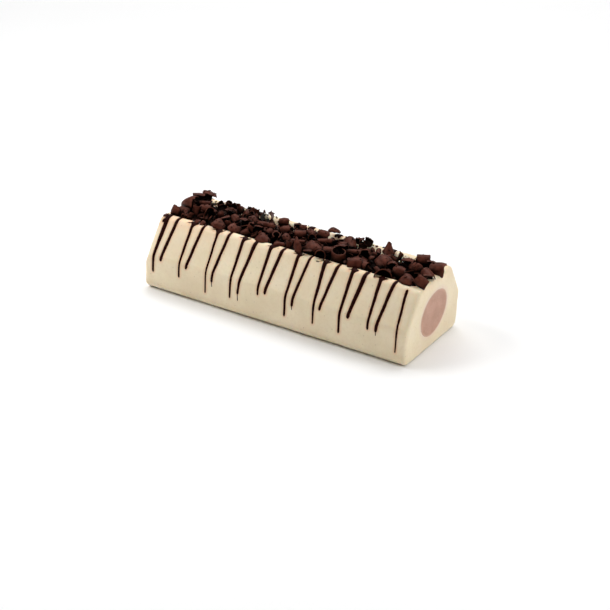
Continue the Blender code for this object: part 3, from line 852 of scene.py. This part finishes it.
def add_bead(bm, side, path, widths, draw, thin_from=1.0):
    """A bead of sauce along path, a list of (x, distance) from its foot upwards.

    Its half width goes from the first of widths to the second. Past the distance thin_from it lies thin.
    """
    samples = []
    for (x0, d0), (x1, d1) in zip(path, path[1:]):
        steps = max(2, int(hypot(x1 - x0, d1 - d0) / BEAD_STEP))
        samples += [(x0 + (x1 - x0) * k / steps, d0 + (d1 - d0) * k / steps) for k in range(steps)]
    samples.append(path[-1])
    phase = draw.uniform(0, 50)
    spine = []
    for x, d in samples:
        sway = BEAD_WOBBLE * ripple(d * 90, phase, 0)
        spine.append(side.surface(x + sway, d))
    rings = []
    count = len(spine)
    for k, (point, outward) in enumerate(spine):
        ahead = spine[min(k + 1, count - 1)][0] - spine[max(k - 1, 0)][0]
        across = outward.cross(ahead).normalized()
        half_width = widths[0] + (widths[1] - widths[0]) * k / (count - 1)
        half_width *= 1.0 + 0.10 * ripple(samples[k][1] * 120, 0, phase)
        end = min(k, count - 1 - k) * BEAD_STEP / (BEAD_END_STRETCH * half_width)
        tip = sqrt(max(0.04, 1 - (1 - min(end, 1.0)) ** 2))
        thinned = 1 - (1 - BEAD_THINNED) * ease(samples[k][1], thin_from, thin_from + 0.003)
        rise = BEAD_RISE * half_width * tip * thinned
        rings.append(add_ring(bm, point, across, outward, half_width * tip, rise, BEAD_SINK * tip))
    join_rows(bm, [ring + ring[:1] for ring in rings])
    bm.faces.new(rings[0][::-1])
    bm.faces.new(rings[-1])


def add_splash(bm, side, x, fan, draw):
    """The ragged patch where a run leaves the rim."""
    left, right = fan
    stem = side.rim - SPLASH_DEPTH
    for strand in range(SPLASH_STRANDS):
        share = strand / (SPLASH_STRANDS - 1)
        reach = -left + (left + right) * share + draw.uniform(-STRAND_STRAY, STRAND_STRAY)
        top = side.rim + draw.uniform(*STRAND_TOPS)
        path = [(x + 0.06 * reach, stem), (x + 0.30 * reach, stem + 0.5 * (top - stem)), (x + reach, top)]
        add_bead(bm, side, path, (0.0006, draw.uniform(*STRAND_HALF_WIDTHS)), draw)
    start = (x - left - SPLASH_FINGER, side.rim - draw.uniform(*FINGER_DEPTHS))
    add_bead(bm, side, [start, (x - left * 0.7, side.rim + 0.0004)], FINGER_HALF_WIDTHS, draw)
    for drop in range(DROP_COUNT):
        drop_x = x + draw.choice((-left, right)) + draw.uniform(-DROP_STRAY, DROP_STRAY)
        low = side.rim - draw.uniform(*DROP_DEPTHS)
        high = low + draw.uniform(*DROP_LENGTHS)
        add_bead(bm, side, [(drop_x, low), (drop_x, high)], DROP_HALF_WIDTHS, draw)


def front_runs(bm, tails, side, draw):
    """The plumb and the slanting runs down the front."""
    first = -DRIZZLE_PITCH * (len(PLUMB_RUNS) - 1) / 2
    waist = side.distance_at(WAIST_HEIGHT)
    for i, (foot_z, drift, lean, half_widths, fan) in enumerate(PLUMB_RUNS):
        x = first + i * DRIZZLE_PITCH + drift
        over = PLUMB_OVER_RIM if fan else -PLUMB_BELOW_RIM
        path = [(x, side.distance_at(foot_z)), (x, waist), (x + lean, side.rim + over)]
        add_bead(bm, side, path, half_widths, draw)
        if fan:
            add_splash(bm, side, x + lean * 0.95, fan, draw)
    for i, (foot_z, tail_length, half_widths) in enumerate(SLANT_RUNS):
        x = first + i * DRIZZLE_PITCH
        foot = (x + SLANT_FOOT_OFFSET, side.distance_at(foot_z))
        top = (x + SLANT_RIM_OFFSET, side.rim + SLANT_OVER_RIM)
        add_bead(bm, side, [foot, top], half_widths, draw, side.rim - SLANT_THINS_BELOW_RIM)
        if tail_length:
            tail = [(foot[0] + 0.0004, foot[1] - tail_length), (foot[0], foot[1] + 0.001)]
            add_bead(tails, side, tail, (TAIL_HALF_WIDTH, TAIL_HALF_WIDTH), draw)
    drop_x, drop_z, length, half_width = DROPLET
    low = side.distance_at(drop_z)
    path = [(drop_x, low), (drop_x + 0.0008, low + length)]
    add_bead(bm, side, path, (half_width, half_width * 0.7), draw)


def back_runs(bm, side, draw):
    """At each turn past the far rim, two legs that meet in one run down the back."""
    first = -DRIZZLE_PITCH * len(BACK_FEET) / 2
    turn = side.distance_at(BACK_TURN_HEIGHT)
    for i, foot_z in enumerate(BACK_FEET):
        x = first + i * DRIZZLE_PITCH + BACK_TURN_OFFSET
        top = side.rim + BACK_OVER_RIM
        path = [(x, side.distance_at(foot_z)), (x, turn), (x - BACK_LEG_SPREAD, top)]
        add_bead(bm, side, path, BACK_HALF_WIDTHS, draw)
        add_bead(bm, side, [(x, turn), (x + BACK_LEG_SPREAD, top)], BACK_HALF_WIDTHS, draw)


def write_depth(obj, tree):
    """Keeps how far each point of the sauce stands off the log, in millimetres, for its material."""
    values = []
    for v in obj.data.vertices:
        place, normal, index, distance = tree.find_nearest(v.co)
        values.append(copysign(distance, (v.co - place).dot(normal)) * 1000)
    keep_values(obj, "depth", values)


def drizzle(tree):
    """All the sauce, melted into one skin, and the thin tails below some runs."""
    draw = random.Random(DRIZZLE_SEED)
    front, back = Side(-1, tree), Side(1, tree)
    bm, tails = bmesh.new(), bmesh.new()
    front_runs(bm, tails, front, draw)
    back_runs(bm, back, draw)
    runs = add_mesh("chocolate_drizzle", bm)
    remesh(runs, DRIZZLE_VOXEL, 2)
    thin = add_mesh("drizzle_tails", tails)
    for obj in (runs, thin):
        write_depth(obj, tree)
    return runs, thin


def write_stain(log, sauce):
    """Marks the frozen skin close to the sauce, where its colour has run."""
    near = tree_of([sauce])
    values = []
    for v in log.data.vertices:
        place, normal, index, distance = near.find_nearest(v.co, 0.004)
        values.append(0.0 if place is None else 1.0 - ease(distance, 0.0002, 0.0022))
    keep_values(log, "stain", values)


# ---- heap

def stack_height(x):
    """How much higher the heap is at x, towards the -X end."""
    from_end = x + BED_LENGTH / 2
    return STACK_HEIGHT * max(0.0, 1.0 - from_end / STACK_REACH)


def lumpy_bed():
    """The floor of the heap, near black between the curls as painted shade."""
    foot = CAKE_HEIGHT - BASIN_DEPTH - BED_SUNK
    bm = bmesh.new()
    columns, rows = round(BED_LENGTH / BED_CELL), round(BED_WIDTH / BED_CELL)
    bmesh.ops.create_grid(bm, x_segments=columns, y_segments=rows, size=0.5)
    for v in bm.verts:
        edge = min(0.5 - abs(v.co.x), (0.5 - abs(v.co.y)) * BED_WIDTH / BED_LENGTH) * BED_LENGTH
        x, y = v.co.x * BED_LENGTH, v.co.y * BED_WIDTH + BED_CENTRE_Y
        x += BED_STRAY * ripple(x * 150, y * 150, 3)
        y += BED_STRAY * ripple(x * 150, y * 150, 9)
        lump = BED_LUMP * ripple(x * 170, y * 170, 0)
        shoulder = BED_SHOULDER * (1 - ease(edge, 0.0, 0.004))
        v.co = (x, y, BED_TOP + stack_height(x) + lump - shoulder)
    rim = bmesh.ops.extrude_edge_only(bm, edges=[e for e in bm.edges if e.is_boundary])["geom"]
    for v in rim:
        if isinstance(v, bmesh.types.BMVert):
            v.co.z = foot
    bmesh.ops.holes_fill(bm, edges=[e for e in bm.edges if e.is_boundary])
    bmesh.ops.recalc_face_normals(bm, faces=bm.faces)
    return add_mesh("chocolate_bed", bm)


def add_curl(bm, uv, kind, size, spot, turns, draw):
    """A thin rolled sheet about its own X, its edges a little torn, turned by spin, pitch and yaw."""
    radius, width, sweep, taper, pointed, spiral, helix, cup = CURL_KINDS[kind]
    seed = draw.uniform(0, 900)
    points, sheet = [], []
    for i in range(CURL_COLUMNS):
        v = i / (CURL_COLUMNS - 1) - 0.5
        for j in range(CURL_ROWS):
            u = j / (CURL_ROWS - 1) - 0.5
            torn = ripple(u * 2.5 + seed, v * 9, 0)
            angle = radians(sweep) * v * (1 + 0.06 * torn * (abs(v) > 0.45))
            reach = radius * size * (1 + taper * u) * (1 + spiral * v) * (1 - cup * (2 * u) ** 2)
            reach *= 1 + 0.07 * ripple(u * 2, v * 4, seed)
            narrowed = width * size * sqrt(1 - pointed * (2 * v) ** 2)
            ragged = 0.0009 * size * ripple(v * 5, seed, u) * (2 * abs(u)) ** 3
            x = narrowed * u + helix * width * size * v + ragged
            points.append(Vector((x, reach * sin(angle), reach * cos(angle))))
            sheet.append((width * u + seed, radians(sweep) * radius * v + seed))
    middle = sum(points, Vector()) / len(points)
    turn = Euler([radians(t) for t in turns]).to_matrix()
    verts = [bm.verts.new(turn @ (p - middle) + Vector(spot)) for p in points]
    for i in range(CURL_COLUMNS - 1):
        for j in range(CURL_ROWS - 1):
            a = i * CURL_ROWS + j
            loop = (a, a + 1, a + CURL_ROWS + 1, a + CURL_ROWS)
            face = bm.faces.new([verts[k] for k in loop])
            for corner, k in zip(face.loops, loop):
                corner[uv].uv = sheet[k]


def finish_sheets(name, bm, thickness):
    """Turns sheets into thin solids: worn outside, inside near black as painted shade, torn edges a little
    lighter.
    """
    obj = add_mesh(name, bm)
    solid = obj.modifiers.new("Thickness", "SOLIDIFY")
    solid.thickness = thickness
    solid.offset = -1.0
    solid.material_offset = 1
    solid.material_offset_rim = 2
    for label in CURL_FACES:
        obj.data.materials.append(bpy.data.materials[label])
    apply_modifiers(obj)
    obj.data.set_sharp_from_angle(angle=SHEET_CREASE)
    return obj


def large_curls(draw):
    """The curls that can be told apart, each laid at its own place."""
    bm = bmesh.new()
    uv = bm.loops.layers.uv.new("sheet")
    for kind, size, x, y, z, *turns in LARGE_CURLS:
        add_curl(bm, uv, kind, size, (x, y, z), turns, draw)
    return finish_sheets("large_curls", bm, CURL_THICKNESS)


def scattered_curls(draw):
    """Smaller curls between the large ones, one in each cell of a loose grid."""
    bm = bmesh.new()
    uv = bm.loops.layers.uv.new("sheet")
    for column in range(SCATTER_COLUMNS):
        for row in range(SCATTER_ROWS):
            x = ((column + 0.5) / SCATTER_COLUMNS - 0.5) * BED_LENGTH + draw.uniform(-1, 1) * SCATTER_STRAY
            y = ((row + 0.5) / SCATTER_ROWS - 0.5) * BED_WIDTH * 0.92 + draw.uniform(-1, 1) * SCATTER_STRAY
            lift = draw.uniform(*SCATTER_LIFTS)
            spot = (x, y + BED_CENTRE_Y, BED_TOP + stack_height(x) * 0.8 + lift)
            kind = draw.choice(SCATTER_KINDS)
            turns = (draw.uniform(0, 360), draw.uniform(-40, 40), draw.uniform(0, 360))
            add_curl(bm, uv, kind, draw.uniform(*SCATTER_SIZES), spot, turns, draw)
    return finish_sheets("scattered_curls", bm, CURL_THICKNESS)


def drop_onto(tree, x, y, lift):
    """The place on top of the heap or rim under (x, y)."""
    hit = tree.ray_cast(Vector((x, y, 0.12)), Vector((0, 0, -1)), 0.2)[0]
    return None if hit is None else hit + Vector((0.0, 0.0, lift))


def heap_spot(draw):
    """A place over the heap, or for about one in three beside it along the back."""
    x = draw.uniform(-0.5, 0.5) * (BED_LENGTH + 0.004)
    if draw.random() < BACK_SHARE:
        return x, draw.triangular(*BACK_STRIP)
    return x, BED_CENTRE_Y + draw.uniform(-0.52, 0.5) * BED_WIDTH


def loose_bits(tree, draw):
    """Splinters of curl: small bent sheets lying on what is under them."""
    bm = bmesh.new()
    uv = bm.loops.layers.uv.new("sheet")
    for n in range(BIT_COUNT):
        x, y = heap_spot(draw)
        size = draw.uniform(*BIT_SIZES)
        spot = drop_onto(tree, x, y, size * 0.15)
        if spot is None:
            continue
        tilts = draw.uniform(-0.7, 0.7), draw.uniform(-0.7, 0.7)
        turn = Euler((*tilts, draw.uniform(0, 6.28))).to_matrix()
        narrow, bend = draw.uniform(0.25, 0.7), draw.uniform(0.1, 0.5)
        rows = []
        for i in range(5):
            v = i / 4 - 0.5
            half = size * narrow / 2 * (1 - 0.7 * (2 * v) ** 2) * draw.uniform(0.8, 1.1)
            rise = -bend * size * (2 * v) ** 2 / 2
            row = [turn @ Vector((s * half, size * v, rise)) + spot for s in (-1, 0, 1)]
            rows.append([bm.verts.new(point) for point in row])
        for face in join_rows(bm, rows):
            for corner in face.loops:
                corner[uv].uv = (corner.vert.co.x + n, corner.vert.co.y)
    return finish_sheets("chocolate_bits", bm, BIT_THICKNESS)


def crumbs(tree, draw):
    """Broken crumbs: small lumps with a few uneven faces."""
    bm = bmesh.new()
    for n in range(CRUMB_COUNT):
        x, y = heap_spot(draw)
        size = draw.uniform(*CRUMB_SIZES)
        spot = drop_onto(tree, x, y, size * 0.3)
        if spot is None:
            continue
        turn = Euler([draw.uniform(0, 6.28) for axis in range(3)]).to_matrix()
        made = bmesh.ops.create_icosphere(bm, subdivisions=1, radius=size)["verts"]
        for v in made:
            v.co = turn @ Vector((v.co.x, v.co.y * 0.7, v.co.z * 0.5)) * draw.uniform(0.7, 1.2) + spot
    return add_mesh("chocolate_crumbs", bm)


def write_openness(obj, tree):
    """Keeps what share of its surroundings each point of the heap sees, for its materials to paint shade
    where it is shut in.
    """
    turns = [OPEN_RAYS_TURN * k for k in range(OPEN_RAYS)]
    heights = [1 - 2 * (k + 0.5) / OPEN_RAYS for k in range(OPEN_RAYS)]
    flat = [sqrt(1 - z * z) for z in heights]
    ball = [Vector((r * cos(t), r * sin(t), z)) for r, t, z in zip(flat, turns, heights)]
    values = []
    for v in obj.data.vertices:
        start = v.co + v.normal * OPEN_START
        blocked = [tree.ray_cast(start, v.normal + 0.98 * way, OPEN_REACH)[0] for way in ball]
        values.append(blocked.count(None) / OPEN_RAYS)
    keep_values(obj, "open", values)


# ---- stage

def add_floor():
    """A wide sheet of white paper that curves up far behind the cake."""
    bm = bmesh.new()
    half, back, lift, bend, steps = 6.0, 5.0, 5.0, 2.0, 16
    rows = [(-half, 0.0), (0.0, 0.0), (back - bend, 0.0)]
    for step in range(1, steps + 1):
        angle = pi / 2 * step / steps
        rows.append((back - bend + bend * sin(angle), bend - bend * cos(angle)))
    rows.append((back, lift))
    turn = Matrix.Rotation(CAMERA_AZIMUTH, 3, "Z")
    rows = [[turn @ Vector((side * half, y, z)) for side in (-1, 1)] for y, z in rows]
    join_rows(bm, [[bm.verts.new(place) for place in row] for row in rows])
    floor = add_mesh("floor", bm)
    floor.location.z = -0.0002
    floor.data.materials.append(floor_material())
    shade_smooth(floor)


def aim(obj, place, target):
    """Puts a light at a place with its -Z facing the target."""
    obj.location = place
    obj.rotation_euler = (Vector(target) - Vector(place)).to_track_quat("-Z", "Y").to_euler()


def add_lights():
    """The soft boxes, and a little even light from all round."""
    for name, (place, target, width, height, watts) in SOFT_BOXES.items():
        light = bpy.data.lights.new(f"soft_box_{name}", "AREA")
        light.shape = "RECTANGLE"
        light.size = width
        light.size_y = height
        light.energy = watts
        aim(add_object(light.name, light), place, target)
    world = bpy.data.worlds.new("studio")
    world.use_nodes = True
    sky = world.node_tree.nodes["Background"]
    fill(world.node_tree, sky, {"Color": (1.0, 1.0, 1.0, 1.0), "Strength": WORLD_STRENGTH})
    bpy.context.scene.world = world


def add_camera():
    """The photo's camera: it looks at its target from its azimuth, elevation and distance, then rolls."""
    data = bpy.data.cameras.new("camera")
    data.lens = CAMERA_LENS
    data.sensor_width = CAMERA_SENSOR
    data.clip_end = 100.0
    camera = add_object("camera", data)
    flat = cos(CAMERA_ELEVATION)
    back = Vector((
        sin(CAMERA_AZIMUTH) * flat, -cos(CAMERA_AZIMUTH) * flat, sin(CAMERA_ELEVATION)
    ))
    right = (-back).cross(Vector((0.0, 0.0, 1.0))).normalized()
    up = right.cross(-back)
    turn = Matrix((right, up, back)).transposed() @ Matrix.Rotation(CAMERA_ROLL, 3, "Z")
    camera.matrix_world = Matrix.Translation(CAMERA_TARGET + back * CAMERA_DISTANCE) @ turn.to_4x4()
    bpy.context.scene.camera = camera


# ---- assembly

def dress(piece, slot, material, *nodes):
    """Gives a piece its body, its material and the node it stands for. Its slot is not used."""
    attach(piece, "root")
    if material:
        piece.data.materials.clear()
        piece.data.materials.append(material)
    shade_smooth(piece)
    if nodes:
        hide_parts(*nodes)


def main():
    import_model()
    core_low, core_high = (Vector(corner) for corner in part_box("chocolate_core"))
    length = core_high.x - core_low.x

    log = frozen_log(length)
    skin = tree_of([log])
    core = split_core(log, core_low, core_high)
    sauce, tails = drizzle(skin)
    write_stain(log, sauce)
    sauce_material = drizzle_material()
    dress(log, "vanilla_ice_cream", vanilla_material(core_low, core_high), "ice_cream_log")
    dress(core, "chocolate_ice_cream", core_material(core_low, core_high), "chocolate_core")
    dress(sauce, "dark_chocolate", sauce_material)
    dress(tails, "dark_chocolate", sauce_material)

    for label, look in CURL_FACES.items():
        curl_material(label, *look)
    crumb_and_shade = crumb_and_shade_material()
    draw = random.Random(CURL_SEED)
    bed = lumpy_bed()
    large = large_curls(draw)
    scattered = scattered_curls(draw)
    top = tree_of([log, bed, large, scattered])
    bits = loose_bits(top, draw)
    fallen = crumbs(top, draw)
    for obj in (bed, large, scattered, bits, fallen):
        write_openness(obj, top)
    dress(bed, "dark_chocolate", crumb_and_shade)
    dress(fallen, "dark_chocolate", crumb_and_shade)
    dress(large, "dark_chocolate", None, "chocolate_curls")
    dress(scattered, "dark_chocolate", None)
    dress(bits, "dark_chocolate", None)

    add_floor()
    add_lights()
    add_camera()
    bpy.context.scene.view_settings.view_transform = "Standard"


main()
